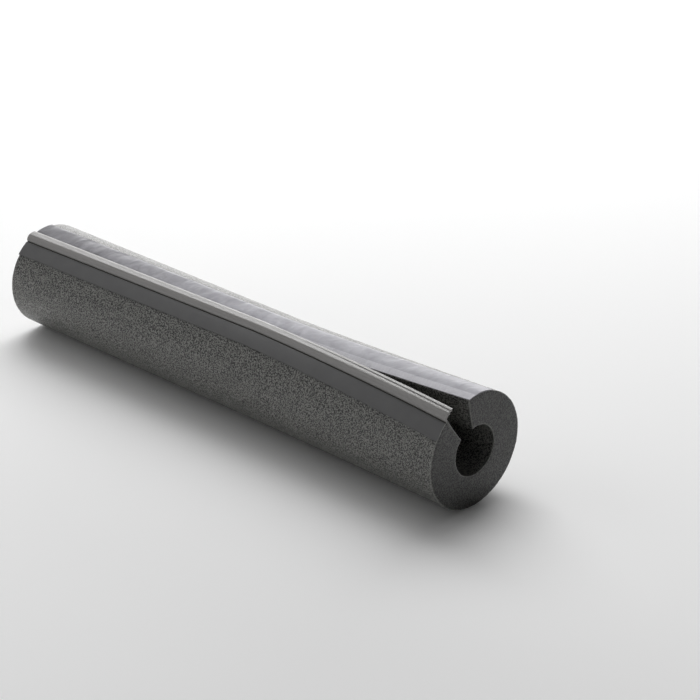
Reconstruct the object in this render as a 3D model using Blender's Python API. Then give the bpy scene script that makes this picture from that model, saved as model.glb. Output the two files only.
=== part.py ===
"""Slit foam pipe lagging with a press-together closure strip, lying on a level floor.

The tube runs along X. Its slit is closed at the far end (-X) and gapes at the near end (+X).
Each piece is drawn flat, as an outline of arc length and height over the foam's outside,
extruded along X, and then wrapped round the tube and spread open towards the near end.
Metres, +Z up. The origin is on the floor, under the tube's axis, halfway along it.
"""

import bmesh
import bpy
from math import ceil, cos, pi, radians, sin

MM = 0.001

# The foam tube, for a 22 mm pipe with a 20 mm wall
LENGTH = 340 * MM
OUTER_RADIUS = 31 * MM
BORE_RADIUS = 11.5 * MM
WALL = OUTER_RADIUS - BORE_RADIUS
OUTER_FACETS = 48
BORE_FACETS = 40

# The slit, which leans forward (-Y) from the top, and further forward at the bore
SLIT_ANGLE = radians(28)
SLIT_GAP = 0.4 * MM
SLIT_SLANT = radians(3)

# The gape at the near end, where the tube also spreads wider and lower
GAPE_START = 20 * MM
GAPE_CURVE = 1.35
GAPE_STATIONS = 11
FRONT_LIP_SWING = radians(18.1)
REAR_LIP_SWING = radians(15.9)
GAPE_SWELL = 1.0 * MM
GAPE_WIDENING = 0.03
GAPE_LOWERING = 0.035

# The slit runs round the tube a little, from the far end to where the gape starts
TWIST_FAR = radians(1.4)
TWIST_NEAR = radians(-3.6)

# Each lip's own set at the near end: lean, then shift forward and up, dying away inland
LIP_REACH = 30 * MM
FRONT_LIP_SET = (radians(-7.5), 0.5 * MM, 0.5 * MM)
REAR_LIP_SET = (radians(6), -0.75 * MM, -0.8 * MM)

# How far the hook flap springs up off the near end, and the point that it turns about
FLAP_LIFT = radians(11)
FLAP_ROOT = (0.9 * MM, 0.5 * MM)

# The closure strips, as arc length forward of the slit and height over the foam
WELD_GAP = 0.3 * MM
FLANGE_EDGE = 12.2 * MM
FLANGE_TOP = 0.7 * MM
BAND_EDGE = -18.7 * MM
BAND_TOP = 0.5 * MM
ARC_STEP = 2.4 * MM

# Hook strip: the underside of its flap with two barbs, then back over the ribbed top
HOOK_PROFILE_MM = (
    (0.6, 0.30), (0.5, 0.75), (0.2, 1.25), (-2.1, 1.50), (-2.3, 1.00),
    (-2.75, 1.00), (-3.0, 1.50), (-4.0, 1.50), (-4.2, 1.05), (-4.65, 1.05),
    (-5.1, 1.35), (-5.7, 1.45), (-5.75, 1.75), (-4.3, 2.28), (-4.1, 1.90),
    (-3.7, 2.00), (-3.5, 2.50), (-2.6, 2.76), (-1.8, 2.85), (-1.0, 2.76),
    (-0.3, 2.52), (0.3, 2.16), (0.8, 1.72), (1.2, 1.22), (1.45, 0.85), (1.5, 0.70),
)

# Catch strip: fine ridges next to the slit for the barbs to grip, then the plain band
CATCH_EDGE = -0.6 * MM
CATCH_RIDGES = 6
RIDGE_PITCH = 0.8 * MM
RIDGE_WIDTH = 0.5 * MM
RIDGE_CREST = 0.3 * MM
RIDGE_TOP = 0.7 * MM

FOAM_COLOUR = (0.085, 0.085, 0.083, 1.0)
STRIP_COLOUR = (0.16, 0.16, 0.155, 1.0)
BAND_COLOUR = (0.20, 0.20, 0.21, 1.0)


def clear_scene():
    for obj in list(bpy.data.objects):
        bpy.data.objects.remove(obj)


def plain_material(name, colour, roughness):
    material = bpy.data.materials.new(name)
    material.use_nodes = True
    shader = material.node_tree.nodes["Principled BSDF"]
    shader.inputs["Base Color"].default_value = colour
    shader.inputs["Roughness"].default_value = roughness
    shader.inputs["Metallic"].default_value = 0.0
    return material


def gape(x):
    """How far open the slit is at x, from 0 where it is shut to 1 at the near end."""
    share = (x - GAPE_START) / (LENGTH / 2 - GAPE_START)
    return max(0.0, share) ** GAPE_CURVE


def twist(x, arc):
    """How far the slit has run round the tube at x; the underside stays where it is."""
    share = min(1.0, (x + LENGTH / 2) / (GAPE_START + LENGTH / 2))
    near_slit = (1 + cos(arc / OUTER_RADIUS)) / 2
    return (TWIST_FAR + (TWIST_NEAR - TWIST_FAR) * share) * near_slit ** 2


def lip_set(spread, arc):
    """How each lip of the gaping slit leans, and moves forward and up, besides its swing."""
    once_round = 2 * pi * OUTER_RADIUS
    if arc < once_round / 2:
        inland, (lean, forward, up) = max(0.0, arc), FRONT_LIP_SET
    else:
        inland, (lean, forward, up) = max(0.0, once_round - arc), REAR_LIP_SET
    share = spread * max(0.0, 1 - inland / LIP_REACH) ** 2
    return share * lean, share * forward, share * up


def stations():
    """Places along X where each piece has a cross-section."""
    reach = LENGTH / 2 - GAPE_START
    opening = [GAPE_START + reach * i / GAPE_STATIONS for i in range(GAPE_STATIONS + 1)]
    return [-LENGTH / 2] + opening


def wrap(x, arc, height):
    """Where a flat point lands: arc runs forward from the slit and right round the tube."""
    spread = gape(x)
    kept = 1 - spread * (FRONT_LIP_SWING + REAR_LIP_SWING) / (2 * pi)
    outer = (OUTER_RADIUS - WALL / 2) / kept + WALL / 2 + spread * GAPE_SWELL
    angle = SLIT_ANGLE + twist(x, arc) + spread * FRONT_LIP_SWING + kept * arc / OUTER_RADIUS
    lean, forward, up = lip_set(spread, arc)
    bore, depth = outer - WALL, WALL + height
    wide = 1 + spread * GAPE_WIDENING
    tall = 1 - spread * GAPE_LOWERING
    axis_height = outer if spread > 0 else outer * cos(pi / OUTER_FACETS)
    y = -(bore * sin(angle) + depth * sin(angle + lean)) * wide - forward
    z = (axis_height + bore * cos(angle) + depth * cos(angle + lean)) * tall + up
    return (x, y, z)


def lifted(x, arc, height):
    """The hook flap turned up about its root as the slit gapes."""
    root_arc, root_height = FLAP_ROOT
    if arc >= root_arc:
        return arc, height
    turn = gape(x) * FLAP_LIFT
    along, up = arc - root_arc, height - root_height
    return (
        root_arc + along * cos(turn) + up * sin(turn),
        root_height - along * sin(turn) + up * cos(turn),
    )


def along_arc(start, end, height):
    """Points between two arc lengths at one height, close enough to follow the tube."""
    steps = ceil(abs(end - start) / ARC_STEP)
    return [(start + (end - start) * i / steps, height) for i in range(1, steps)]


def solid_from_outline(name, outline, bend, material, collection):
    """Extrudes a flat outline along X, station by station, and wraps it round the tube."""
    bm = bmesh.new()
    places = stations()
    face = bm.faces.new([bm.verts.new((places[0], arc, height)) for arc, height in outline])
    for before, after in zip(places, places[1:]):
        made = bmesh.ops.extrude_face_region(bm, geom=[face, *face.edges])["geom"]
        moved = [item for item in made if isinstance(item, bmesh.types.BMVert)]
        bmesh.ops.translate(bm, verts=moved, vec=(after - before, 0, 0))
        face = next(item for item in made if isinstance(item, bmesh.types.BMFace))
    for vert in bm.verts:
        x, arc, height = vert.co
        arc, height = bend(x, arc, height)
        vert.co = wrap(x, arc, height)
    bmesh.ops.recalc_face_normals(bm, faces=bm.faces)
    if bm.calc_volume(signed=True) < 0:
        bmesh.ops.reverse_faces(bm, faces=bm.faces)
    mesh = bpy.data.meshes.new(name)
    bm.to_mesh(mesh)
    bm.free()
    mesh.shade_smooth()
    mesh.set_sharp_from_angle(angle=radians(25))
    mesh.materials.append(material)
    obj = bpy.data.objects.new(name, mesh)
    collection.objects.link(obj)
    return obj


def unbent(x, arc, height):
    return arc, height


def foam_outline():
    """The foam unrolled: its outside from lip to lip, then its bore back again."""
    front = SLIT_GAP / 2
    rear = 2 * pi * OUTER_RADIUS - SLIT_GAP / 2
    facet = 2 * pi * OUTER_RADIUS / OUTER_FACETS
    floor_arc = (pi - SLIT_ANGLE) * OUTER_RADIUS
    first = ceil((front - floor_arc) / facet - 0.5)
    grid = [floor_arc + (first + i + 0.5) * facet for i in range(OUTER_FACETS + 1)]
    clear = facet / 4
    outside = [front] + [arc for arc in grid if front + clear < arc < rear - clear] + [rear]
    slant = SLIT_SLANT * OUTER_RADIUS
    bore_facet = (rear - front) / BORE_FACETS
    bore = [rear + slant - bore_facet * i for i in range(BORE_FACETS + 1)]
    return [(arc, 0.0) for arc in outside] + [(arc, -WALL) for arc in bore]


def hook_outline():
    """The front strip: a flange welded to the foam, and the flap that laps the slit."""
    profile = [(arc * MM, height * MM) for arc, height in HOOK_PROFILE_MM]
    return (
        profile
        + along_arc(profile[-1][0], FLANGE_EDGE, FLANGE_TOP)
        + [(FLANGE_EDGE, FLANGE_TOP), (FLANGE_EDGE, WELD_GAP)]
        + along_arc(FLANGE_EDGE, profile[0][0], WELD_GAP)
    )


def catch_outline():
    """The rear strip: ridges next to the slit, and a thin band welded to the foam."""
    once_round = 2 * pi * OUTER_RADIUS
    slit_side = once_round + CATCH_EDGE
    far_side = once_round + BAND_EDGE
    slope = (RIDGE_WIDTH - RIDGE_CREST) / 2
    ridges = []
    for i in range(CATCH_RIDGES):
        start = slit_side - i * RIDGE_PITCH
        ridges += [
            (start, BAND_TOP),
            (start - slope, RIDGE_TOP),
            (start - slope - RIDGE_CREST, RIDGE_TOP),
            (start - RIDGE_WIDTH, BAND_TOP),
        ]
    return (
        [(slit_side, WELD_GAP)]
        + ridges
        + along_arc(ridges[-1][0], far_side, BAND_TOP)
        + [(far_side, BAND_TOP), (far_side, WELD_GAP)]
        + along_arc(far_side, slit_side, WELD_GAP)
    )


def build():
    clear_scene()
    collection = bpy.data.collections.new("pipe_insulation_lagging")
    bpy.context.scene.collection.children.link(collection)
    foam = plain_material("polyethylene_foam", FOAM_COLOUR, 0.95)
    strip = plain_material("extruded_strip", STRIP_COLOUR, 0.45)
    band = plain_material("banded_strip", BAND_COLOUR, 0.35)
    solid_from_outline("foam_tube", foam_outline(), unbent, foam, collection)
    solid_from_outline("hook_strip", hook_outline(), lifted, strip, collection)
    solid_from_outline("catch_strip", catch_outline(), unbent, band, collection)


build()
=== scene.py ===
"""One length of slit foam pipe lagging on a pale studio floor, its closure strip gaping."""

from math import cos, pi, radians, sin

import bmesh
import bpy
from mathutils import Matrix, Vector, noise


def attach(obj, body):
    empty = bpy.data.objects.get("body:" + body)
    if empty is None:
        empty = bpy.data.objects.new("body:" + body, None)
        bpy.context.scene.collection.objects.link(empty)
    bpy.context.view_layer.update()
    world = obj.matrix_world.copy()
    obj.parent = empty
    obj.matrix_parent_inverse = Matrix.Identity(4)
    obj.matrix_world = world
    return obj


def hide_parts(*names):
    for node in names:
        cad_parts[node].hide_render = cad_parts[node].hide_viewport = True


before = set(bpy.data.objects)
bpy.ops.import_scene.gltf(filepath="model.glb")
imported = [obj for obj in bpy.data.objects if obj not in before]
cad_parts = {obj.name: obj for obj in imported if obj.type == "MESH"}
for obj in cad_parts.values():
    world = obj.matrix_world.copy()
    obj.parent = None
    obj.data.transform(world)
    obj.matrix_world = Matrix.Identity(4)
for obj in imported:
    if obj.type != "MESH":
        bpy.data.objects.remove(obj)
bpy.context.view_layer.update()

MM = 0.001

# Sizes of the lagging, in metres
LENGTH = 340 * MM
OUTER_RADIUS = 31 * MM
WALL = 19.5 * MM
ONCE_ROUND = 2 * pi * OUTER_RADIUS
# The round underside is let into the floor by this much, and flattened where it touches
FLOOR_SINK = 0.066 * MM

# The slit, which leans forward (-Y) from the top, and further forward at the bore
SLIT_ANGLE = radians(28)
SLIT_GAP = 0.5 * MM
SLIT_SLANT = radians(3)

# The gape at the near end, where the tube also spreads wider and lower
GAPE_START = 20 * MM
GAPE_CURVE = 1.35
FRONT_LIP_SWING = radians(18.1)
REAR_LIP_SWING = radians(15.9)
GAPE_SWELL = 1.0 * MM
GAPE_WIDENING = 0.03
GAPE_LOWERING = 0.035

# The slit runs round the tube a little, from the far end to where the gape starts
TWIST_FAR = radians(1.4)
TWIST_NEAR = radians(-3.6)

# Each lip's own set at the near end: lean, then shift forward and up, dying away inland
LIP_REACH = 30 * MM
FRONT_LIP_SET = (radians(-7.5), 0.5 * MM, 0.5 * MM)
REAR_LIP_SET = (radians(6), -0.75 * MM, -0.8 * MM)

# How far the hook flap springs up off the near end, and the point that it turns about
FLAP_LIFT = radians(11)
FLAP_ROOT = (0.9 * MM, 0.5 * MM)

# The closure strips, as arc length forward of the slit and height over the foam
FLANGE_EDGE = 11.3 * MM
FLANGE_TOP = 0.45 * MM
BAND_EDGE = -18.6 * MM
BAND_TOP = 0.30 * MM


def gape(x):
    """How far open the slit is at x, from 0 where it is shut to 1 at the near end."""
    share = (x - GAPE_START) / (LENGTH / 2 - GAPE_START)
    return max(0.0, share) ** GAPE_CURVE


def twist(x, arc):
    """How far the slit has run round the tube at x; the underside stays where it is."""
    share = min(1.0, (x + LENGTH / 2) / (GAPE_START + LENGTH / 2))
    near_slit = (1 + cos(arc / OUTER_RADIUS)) / 2
    return (TWIST_FAR + (TWIST_NEAR - TWIST_FAR) * share) * near_slit ** 2


def lip_set(spread, arc):
    """How each lip of the gaping slit leans, and moves forward and up, besides its swing."""
    if arc < ONCE_ROUND / 2:
        inland, (lean, forward, up) = max(0.0, arc), FRONT_LIP_SET
    else:
        inland, (lean, forward, up) = max(0.0, ONCE_ROUND - arc), REAR_LIP_SET
    share = spread * max(0.0, 1 - inland / LIP_REACH) ** 2
    return share * lean, share * forward, share * up


def wrap(x, arc, height):
    """Where a flat point lands: arc runs forward from the slit and right round the tube."""
    spread = gape(x)
    kept = 1 - spread * (FRONT_LIP_SWING + REAR_LIP_SWING) / (2 * pi)
    outer = (OUTER_RADIUS - WALL / 2) / kept + WALL / 2 + spread * GAPE_SWELL
    angle = SLIT_ANGLE + twist(x, arc) + spread * FRONT_LIP_SWING + kept * arc / OUTER_RADIUS
    lean, forward, up = lip_set(spread, arc)
    bore, depth = outer - WALL, WALL + height
    wide = 1 + spread * GAPE_WIDENING
    tall = 1 - spread * GAPE_LOWERING
    axis_height = outer - FLOOR_SINK
    y = -(bore * sin(angle) + depth * sin(angle + lean)) * wide - forward
    z = (axis_height + bore * cos(angle) + depth * cos(angle + lean)) * tall + up
    return Vector((x, y, max(z, 0.0)))


def lifted(x, arc, height):
    """The hook flap turned up about its root as the slit gapes."""
    root_arc, root_height = FLAP_ROOT
    if arc >= root_arc:
        return arc, height
    turn = gape(x) * FLAP_LIFT
    along, up = arc - root_arc, height - root_height
    return (
        root_arc + along * cos(turn) + up * sin(turn),
        root_height - along * sin(turn) + up * cos(turn),
    )


def piece_from(bm, name, materials, node):
    """Makes the finished mesh an object that rides with the part and stands for its node."""
    bmesh.ops.recalc_face_normals(bm, faces=bm.faces)
    if bm.calc_volume(signed=True) < 0:
        bmesh.ops.reverse_faces(bm, faces=bm.faces)
    mesh = bpy.data.meshes.new(name)
    bm.to_mesh(mesh)
    bm.free()
    mesh.shade_smooth()
    mesh.set_sharp_from_angle(angle=radians(38))
    for material in materials:
        mesh.materials.append(material)
    piece = bpy.data.objects.new(name, mesh)
    bpy.context.scene.collection.objects.link(piece)
    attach(piece, "root")
    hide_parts(node)


def extruded_in_steps(bm, faces, step):
    """Draws a flat region out along X to the full length, in equal steps."""
    edges = list({edge for face in faces for edge in face.edges})
    made = bmesh.ops.extrude_face_region(bm, geom=[*faces, *edges], use_keep_orig=True)["geom"]
    moved = [item for item in made if isinstance(item, bmesh.types.BMVert)]
    bmesh.ops.translate(bm, verts=moved, vec=(LENGTH, 0, 0))
    long_edges = [
        edge for edge in bm.edges
        if abs(edge.verts[0].co.x - edge.verts[1].co.x) > LENGTH / 2
    ]
    cuts = round(LENGTH / step) - 1
    bmesh.ops.subdivide_edges(bm, edges=long_edges, cuts=cuts, use_grid_fill=True)


# The foam's mesh: faces round the tube and through its wall, and their length along it
FOAM_FACES_ROUND = 140
FOAM_FACES_THROUGH = 14
FOAM_STEP = 1.5 * MM

# Its surface: small dents from the cells, and broad shallow ones from the extruder
CELL_DENT = 0.12 * MM
CELL_DENT_PITCH = 1.7 * MM
BROAD_DENT = 0.15 * MM
BROAD_DENT_PITCH = 14 * MM

# Its cut ends: how far their edges are worn back, and how strongly the painted highlight along
# their edges shows
EDGE_WEAR = 0.25 * MM
RIM_HIGHLIGHT = 0.6


def foam_dent(x, arc, height):
    """How deep the foam's surface is dented at this place."""
    at = Vector((x, arc, height))
    fine = noise.noise(at / CELL_DENT_PITCH)
    broad = noise.noise(at / BROAD_DENT_PITCH + Vector((7, 3, 1)))
    return CELL_DENT * (1 + fine) + BROAD_DENT * abs(broad)


def foam_tube(material):
    """The foam: a flat slab, as wide as the tube is round, wrapped until its edges meet."""
    bm = bmesh.new()
    bmesh.ops.create_grid(bm, x_segments=FOAM_FACES_ROUND, y_segments=FOAM_FACES_THROUGH, size=0.5)
    for vert in bm.verts:
        arc = SLIT_GAP / 2 + (vert.co.x + 0.5) * (ONCE_ROUND - SLIT_GAP)
        through = vert.co.y + 0.5
        # Rows lie closer together at the outside and at the bore, so the edges stay crisp
        eased = (through + (1 - cos(pi * through)) / 2) / 2
        vert.co = (-LENGTH / 2, arc, (eased - 1) * WALL)
    extruded_in_steps(bm, list(bm.faces), FOAM_STEP)
    rim_highlight = bm.verts.layers.float.new("rim_highlight")
    cut = bm.verts.layers.float.new("cut")
    for vert in bm.verts:
        x, arc, height = vert.co
        depth = -height / WALL
        on_outside = depth < 0.01
        on_bore = depth > 0.99
        on_skin = on_outside or on_bore
        on_slit = min(arc, ONCE_ROUND - arc) < SLIT_GAP
        on_end = abs(x) > LENGTH / 2 - FOAM_STEP / 2
        dent = foam_dent(x, arc, height)
        if on_outside:
            height -= dent
        elif on_bore:
            height += dent
        if on_end:
            on_edge = on_skin or on_slit
            # Edge vertices of the cut ends are marked for the painted highlight
            vert[rim_highlight] = RIM_HIGHLIGHT if on_edge else 0.0
            x -= (1 if x > 0 else -1) * (dent + (EDGE_WEAR if on_edge else 0.0))
        vert[cut] = 1.0 if on_end and not on_skin else 0.0
        slanted = arc + depth * SLIT_SLANT * OUTER_RADIUS
        vert.co = wrap(x, slanted, height)
    piece_from(bm, "foam_lagging", [material], "foam_tube")


# Flap of the hook strip, in mm: underside with two barbs, back over the grooved top, then
# down the toe and across the thin hinge line in front of it
HOOK_PROFILE_MM = (
    (0.6, 0.0), (0.5, 0.75), (0.2, 1.25), (-2.1, 1.50), (-2.3, 0.65),
    (-2.75, 0.65), (-3.0, 1.50), (-4.0, 1.50), (-4.2, 0.70), (-4.65, 0.70),
    (-5.1, 1.35), (-5.7, 1.45), (-5.75, 1.75), (-4.3, 2.28), (-4.1, 1.90),
    (-3.7, 2.00), (-3.5, 2.50), (-2.6, 2.76), (-1.8, 2.85), (-1.0, 2.74),
    (-0.45, 2.58), (0.0, 2.38), (0.4, 2.07), (0.85, 1.65), (1.3, 1.20), (1.45, 1.02),
    (1.55, 0.20), (2.1, 0.20), (2.25, 0.45),
)

# Where the painted shade of the hinge line starts and ends
HINGE_START = 1.48 * MM
HINGE_END = 2.17 * MM

# The flap's groove, between these two points, only opens up towards the near end
GROOVE_BRIM_MM = ((-4.3, 2.28), (-3.5, 2.50))
GROOVE_OPENS = (30 * MM, 110 * MM)
# Above every point of the flap's underside, and below its groove
FLAP_CORE = 1.7 * MM

# The catch strip's fine ridges next to the slit, for the barbs to grip
CATCH_EDGE = -0.6 * MM
CATCH_RIDGES = 6
RIDGE_PITCH = 0.8 * MM
RIDGE_WIDTH = 0.60 * MM
RIDGE_CREST = 0.16 * MM
RIDGE_TOP = 0.41 * MM

# The strips' meshes: their steps along X, and how far the flap's corners are eased
FILM_STEP = 0.8 * MM
STRIP_STEP = 1.7 * MM
CORNER = 0.12 * MM

# The flange's film lies slack on the foam in front of the hinge
SLACK_START = 2.2 * MM
SLACK_RISE = 0.12 * MM
SLACK_LENGTH = 25 * MM
SLACK_WIDTH = 9 * MM


def evenly(start, end, height):
    """Points between two arc lengths, about a film step apart, with both ends."""
    steps = max(1, round(abs(end - start) / FILM_STEP))
    return [(start + (end - start) * i / steps, height) for i in range(steps + 1)]


def flat_strip(outline, step, corner):
    """A strip drawn along X from its closed outline, whose corners are first eased."""
    bm = bmesh.new()
    verts = [bm.verts.new((-LENGTH / 2, arc, height)) for arc, height in outline]
    bm.faces.new(verts)
    if corner:
        bmesh.ops.bevel(
            bm, geom=verts, offset=corner, offset_type="OFFSET", segments=2,
            profile=0.5, affect="VERTICES", clamp_overlap=True, material=-1,
        )
    extruded_in_steps(bm, list(bm.faces), step)
    return bm


def groove_fill(x, arc, height):
    """How much higher the groove's floor lies than at the near end."""
    (back, back_top), (front, front_top) = GROOVE_BRIM_MM
    share = (arc / MM - back) / (front - back)
    if height < FLAP_CORE or not 0 < share < 1:
        return 0.0
    brim = (back_top + (front_top - back_top) * share) * MM
    start, end = GROOVE_OPENS
    closed = min(1.0, max(0.0, (end - x) / (end - start)))
    return closed * max(0.0, brim - height)


def hook_strip(flange, flap, hinge):
    """The front strip: film flange on the foam, thin hinge, and flap that laps the slit."""
    profile = [(arc * MM, height * MM) for arc, height in HOOK_PROFILE_MM]
    top = evenly(profile[-1][0], FLANGE_EDGE, FLANGE_TOP)[1:]
    bottom = [(arc, 0.0) for arc, _ in reversed(top)]
    bm = flat_strip(profile + top + bottom, STRIP_STEP, CORNER)
    # The flange keeps the first of the three finishes
    for face in bm.faces:
        middle = face.calc_center_median()
        if middle.z > FLANGE_TOP + 0.01 * MM or middle.y < HINGE_START:
            face.material_index = 1
        # The hinge groove gets the third finish: painted shade at the flap's toe
        elif middle.y < HINGE_END:
            face.material_index = 2
    for vert in bm.verts:
        x, arc, height = vert.co
        height += groove_fill(x, arc, height)
        if height > FLANGE_TOP / 2 and arc > SLACK_START:
            slack = noise.noise(Vector((x / SLACK_LENGTH, arc / SLACK_WIDTH, 4.0)))
            height += max(0.0, slack) * SLACK_RISE
        vert.co = wrap(x, *lifted(x, arc, height))
    piece_from(bm, "hook_closure", [flange, flap, hinge], "hook_strip")


# Wrinkles of the band of film: fine puckers along the far part, and long swells all along
STAND_OFF = 0.14 * MM
PUCKER_RISE = 0.22 * MM
PUCKER_LENGTH = 4 * MM
PUCKER_FADES = (-80 * MM, 60 * MM)
PUCKER_LEFT = 0.15
SWELL_RISE = 0.40 * MM
SWELL_LENGTH = 14 * MM
WRINKLE_WIDTH = 9 * MM
# They die away over these widths, next to the ridges and at the band's free edge
CALM_BY_RIDGES = 2.5 * MM
CALM_BY_EDGE = 1.5 * MM


def film_wrinkle(x, arc):
    """How far the band of film stands off the foam in its wrinkles."""
    start, end = PUCKER_FADES
    faded = min(1.0, max(0.0, (x - start) / (end - start)))
    puckered = 1 - (1 - PUCKER_LEFT) * faded
    pucker = noise.noise(Vector((x / PUCKER_LENGTH, arc / WRINKLE_WIDTH, 2.0)))
    swell = noise.noise(Vector((x / SWELL_LENGTH, arc / WRINKLE_WIDTH, 9.0)))
    return STAND_OFF + puckered * PUCKER_RISE * pucker + SWELL_RISE * swell


def catch_strip(film, ridged_film_highlight):
    """The rear strip: ridges next to the slit, and a band of film wrinkled on the foam."""
    slit_side = ONCE_ROUND + CATCH_EDGE
    far_side = ONCE_ROUND + BAND_EDGE
    slope = (RIDGE_WIDTH - RIDGE_CREST) / 2
    ridges = []
    for i in range(CATCH_RIDGES):
        start = slit_side - i * RIDGE_PITCH
        ridges += [
            (start, BAND_TOP),
            (start - slope, RIDGE_TOP),
            (start - slope - RIDGE_CREST, RIDGE_TOP),
            (start - RIDGE_WIDTH, BAND_TOP),
        ]
    ridges_end = ridges[-1][0]
    top = evenly(ridges_end, far_side, BAND_TOP)[1:]
    bottom = evenly(far_side, slit_side, 0.0)
    bm = flat_strip(ridges + top + bottom, FILM_STEP, None)
    # The ridges take the paler copy of the film: painted highlight, for the lamps caught on their
    # tops
    for face in bm.faces:
        face.material_index = 1 if face.calc_center_median().y > ridges_end else 0
    for vert in bm.verts:
        x, arc, height = vert.co
        if height > BAND_TOP / 2:
            from_ridges = (ridges_end - arc) / CALM_BY_RIDGES
            from_edge = (arc - far_side) / CALM_BY_EDGE
            height += film_wrinkle(x, arc) * max(0.0, min(1.0, from_ridges, from_edge))
        vert.co = wrap(x, arc, max(height, 0.0))
    piece_from(bm, "catch_closure", [film, ridged_film_highlight], "catch_strip")


def colour(hex_code):
    """Linear RGBA from an sRGB hex value."""
    parts = [int(hex_code[i:i + 2], 16) / 255 for i in (1, 3, 5)]
    linear = [c / 12.92 if c <= 0.04045 else ((c + 0.055) / 1.055) ** 2.4 for c in parts]
    return (*linear, 1.0)


def add_node(tree, kind, settings=None, inputs=None):
    """Adds a node; an input is a value, or a socket that gets linked to it."""
    node = tree.nodes.new(kind)
    for key, value in (settings or {}).items():
        setattr(node, key, value)
    for key, value in (inputs or {}).items():
        if isinstance(value, bpy.types.NodeSocket):
            tree.links.new(value, node.inputs[key])
        else:
            node.inputs[key].default_value = value
    return node


def new_finish(name, roughness, base):
    """A material with its plain tone and roughness, and the object's own coordinates."""
    material = bpy.data.materials.new(name)
    material.use_nodes = True
    tree = material.node_tree
    shader = tree.nodes["Principled BSDF"]
    shader.inputs["Roughness"].default_value = roughness
    shader.inputs["Base Color"].default_value = colour(base)
    place = add_node(tree, "ShaderNodeTexCoord").outputs["Object"]
    return material, tree, shader, place


def foam_finish():
    """Closed-cell polyethylene foam, extruded: matt, dark grey, freckled by its cut cells."""
    material, tree, shader, place = new_finish("closed_cell_foam", 0.4, "#4a4a47")
    # Cells are 0.8 mm across: pale where a wall stands up, dark where one is cut open
    cells = add_node(tree, "ShaderNodeTexVoronoi", {"feature": "F1"}, {
        "Vector": place, "Scale": 1 / (0.8 * MM), "Randomness": 1.0})
    grit = add_node(tree, "ShaderNodeTexNoise", {}, {
        "Vector": place, "Scale": 1 / (0.7 * MM), "Detail": 1.0, "Roughness": 0.5})
    relief = add_node(tree, "ShaderNodeMath", {"operation": "MULTIPLY_ADD"}, {
        0: cells.outputs["Distance"], 1: 0.45, 2: grit.outputs["Fac"]})
    tone = add_node(tree, "ShaderNodeValToRGB", {}, {"Fac": relief.outputs["Value"]})
    ramp = tone.color_ramp
    ramp.elements[0].position = 0.62
    ramp.elements[0].color = colour("#111110")
    ramp.elements[1].position = 0.84
    ramp.elements[1].color = colour("#82827e")
    # Cut faces: the opened cells hold shadow, so they are less than half as pale
    cut = add_node(tree, "ShaderNodeAttribute", {"attribute_name": "cut"})
    shade = add_node(tree, "ShaderNodeMix", {"data_type": "RGBA", "blend_type": "MULTIPLY"}, {
        "Factor": cut.outputs["Fac"], 6: tone.outputs["Color"], 7: (0.38, 0.38, 0.38, 1.0)})
    # Cut ends: a painted highlight makes their edges paler
    rim_highlight = add_node(tree, "ShaderNodeAttribute", {"attribute_name": "rim_highlight"})
    lift = add_node(tree, "ShaderNodeMix", {"data_type": "RGBA"}, {
        "Factor": rim_highlight.outputs["Fac"], 6: shade.outputs[2], 7: colour("#8a8a86")})
    tree.links.new(lift.outputs[2], shader.inputs["Base Color"])
    bump = add_node(tree, "ShaderNodeBump", {}, {
        "Height": relief.outputs["Value"], "Strength": 0.7, "Distance": 0.3 * MM})
    tree.links.new(bump.outputs["Normal"], shader.inputs["Normal"])
    return material


def flange_finish():
    """Polyethylene film welded on foam: smooth, satin, dark grey, faintly mottled."""
    material, tree, shader, place = new_finish("welded_film", 0.5, "#5a5a5b")
    mottle = add_node(tree, "ShaderNodeTexNoise", {}, {
        "Vector": place, "Scale": 1 / (9 * MM), "Detail": 2.0})
    tone = add_node(tree, "ShaderNodeMix", {"data_type": "RGBA"}, {
        "Factor": mottle.outputs["Fac"], 6: colour("#515152"), 7: colour("#5e5e5e")})
    tree.links.new(tone.outputs[2], shader.inputs["Base Color"])
    bump = add_node(tree, "ShaderNodeBump", {}, {
        "Height": mottle.outputs["Fac"], "Strength": 0.25, "Distance": 0.5 * MM})
    tree.links.new(bump.outputs["Normal"], shader.inputs["Normal"])
    return material


def hinge_shade_finish():
    """Polyethylene drawn thin at the flap's hinge: dull, and painted dark for the shade in the
    groove at the flap's toe.
    """
    return new_finish("hinge_groove_shade", 0.7, "#35342f")[0]


def drawn_lines(tree, place, pitch):
    """Fine lines along X, as a die leaves on a profile: noise drawn out lengthwise."""
    stretch = add_node(tree, "ShaderNodeMapping", {}, {
        "Vector": place, "Scale": (0.02, 1.0, 1.0)})
    return add_node(tree, "ShaderNodeTexNoise", {}, {
        "Vector": stretch.outputs["Vector"], "Scale": 1 / pitch, "Detail": 2.0})


def flap_finish():
    """Extruded polyethylene profile: paler grey, with the fine drag lines of the die."""
    material, tree, shader, place = new_finish("extruded_profile", 0.32, "#7b7a79")
    shader.inputs["Specular IOR Level"].default_value = 0.9
    lines = drawn_lines(tree, place, 0.7 * MM)
    tone = add_node(tree, "ShaderNodeMix", {"data_type": "RGBA"}, {
        "Factor": lines.outputs["Fac"], 6: colour("#757371"), 7: colour("#858381")})
    tree.links.new(tone.outputs[2], shader.inputs["Base Color"])
    bump = add_node(tree, "ShaderNodeBump", {}, {
        "Height": lines.outputs["Fac"], "Strength": 0.3, "Distance": 0.2 * MM})
    tree.links.new(bump.outputs["Normal"], shader.inputs["Normal"])
    return material


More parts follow.
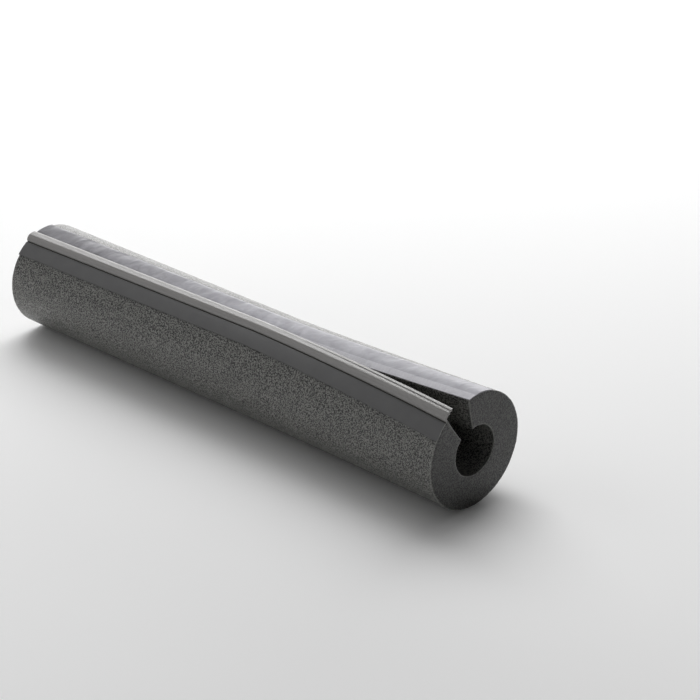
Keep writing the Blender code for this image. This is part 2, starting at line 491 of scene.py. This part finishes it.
def band_finish(name, dark, light):
    """Polyethylene film laid on hot: soft gloss, wrinkled crosswise, lavender grey."""
    material, tree, shader, place = new_finish(name, 0.42, light)
    shader.inputs["Specular IOR Level"].default_value = 0.22
    squash = add_node(tree, "ShaderNodeMapping", {}, {
        "Vector": place, "Scale": (1.0, 0.45, 0.45)})
    creases = add_node(tree, "ShaderNodeTexNoise", {}, {
        "Vector": squash.outputs["Vector"], "Scale": 1 / (5 * MM), "Detail": 2.0,
        "Roughness": 0.5, "Distortion": 0.6})
    # The tone follows the creases, paler where they rise: painted shade and highlight of the
    # wrinkles
    tone = add_node(tree, "ShaderNodeMix", {"data_type": "RGBA"}, {
        "Factor": creases.outputs["Fac"], 6: colour(dark), 7: colour(light)})
    # Towards the far end the film is painted darker: painted shade, for its reflection of the
    # lamps falling off there
    along = add_node(tree, "ShaderNodeSeparateXYZ", {}, {"Vector": place})
    thin = add_node(tree, "ShaderNodeMapRange", {"clamp": True}, {
        "Value": along.outputs["X"], "From Min": GAPE_START, "From Max": -LENGTH / 2})
    far_end_shade = add_node(tree, "ShaderNodeMix", {"data_type": "RGBA", "blend_type": "MULTIPLY"}, {
        "Factor": thin.outputs["Result"], 6: tone.outputs[2], 7: (0.42, 0.42, 0.42, 1.0)})
    tree.links.new(far_end_shade.outputs[2], shader.inputs["Base Color"])
    bump = add_node(tree, "ShaderNodeBump", {}, {
        "Height": creases.outputs["Fac"], "Strength": 0.7, "Distance": 0.6 * MM})
    tree.links.new(bump.outputs["Normal"], shader.inputs["Normal"])
    return material


# The camera: place, turn from +X, tilt from level, roll about its view, and lens in mm
CAMERA_PLACE = (0.9157, -0.8892, 0.6474)
CAMERA_YAW = 2.32538936
CAMERA_PITCH = -0.447537511
CAMERA_ROLL = 0.00185
CAMERA_LENS = 128.63


def studio_camera():
    data = bpy.data.cameras.new("view")
    data.lens = CAMERA_LENS
    data.sensor_width = 36.0
    data.clip_end = 20.0
    camera = bpy.data.objects.new("view", data)
    yaw = Matrix.Rotation(CAMERA_YAW - pi / 2, 4, "Z")
    pitch = Matrix.Rotation(pi / 2 + CAMERA_PITCH, 4, "X")
    roll = Matrix.Rotation(CAMERA_ROLL, 4, "Z")
    camera.matrix_world = Matrix.Translation(CAMERA_PLACE) @ yaw @ pitch @ roll
    bpy.context.scene.collection.objects.link(camera)
    bpy.context.scene.camera = camera


def floor_plane():
    bm = bmesh.new()
    bmesh.ops.create_grid(bm, x_segments=1, y_segments=1, size=6.0)
    mesh = bpy.data.meshes.new("floor")
    bm.to_mesh(mesh)
    bm.free()
    mesh.materials.append(new_finish("pale_floor", 0.8, "#fafafa")[0])
    floor = bpy.data.objects.new("floor", mesh)
    bpy.context.scene.collection.objects.link(floor)


def soft_light(name, place, target, size, power):
    """A rectangular softbox of (width, height), turned to face the target."""
    data = bpy.data.lights.new(name, "AREA")
    data.shape = "RECTANGLE"
    data.size, data.size_y = size
    data.energy = power
    light = bpy.data.objects.new(name, data)
    light.location = place
    light.rotation_euler = (Vector(target) - Vector(place)).to_track_quat("-Z", "Y").to_euler()
    bpy.context.scene.collection.objects.link(light)


def studio_floor_and_lights():
    floor_plane()
    middle = (0, 0, 0.03)
    soft_light("back_low", (-1.25, 1.55, 0.36), middle, (2.4, 0.7), 22)
    soft_light("back_mid", (-0.95, 1.10, 1.30), middle, (2.4, 0.6), 17)
    soft_light("back_high", (-0.6, 0.75, 1.7), middle, (1.8, 0.9), 16)
    soft_light("overhead", (-0.3, -0.2, 1.9), middle, (1.4, 1.4), 4.5)
    soft_light("front_high", (-1.2, -1.05, 1.1), middle, (1.6, 0.8), 3.9)
    soft_light("front_low", (-0.9, -1.8, 0.35), middle, (2.0, 0.6), 4.3)
    world = bpy.data.worlds.new("room")
    world.use_nodes = True
    world.node_tree.nodes["Background"].inputs["Color"].default_value = colour("#ffffff")
    world.node_tree.nodes["Background"].inputs["Strength"].default_value = 0.05
    bpy.context.scene.world = world
    bpy.context.scene.view_settings.view_transform = "Standard"


studio_camera()
studio_floor_and_lights()
foam_tube(foam_finish())
hook_strip(flange_finish(), flap_finish(), hinge_shade_finish())
# The second band finish is a paler copy of the first: painted highlight on the ridges
catch_strip(
    band_finish("wrinkled_film", "#807f86", "#b6b5bc"),
    band_finish("ridged_film_highlight", "#b0afb5", "#cccbd0"),
)
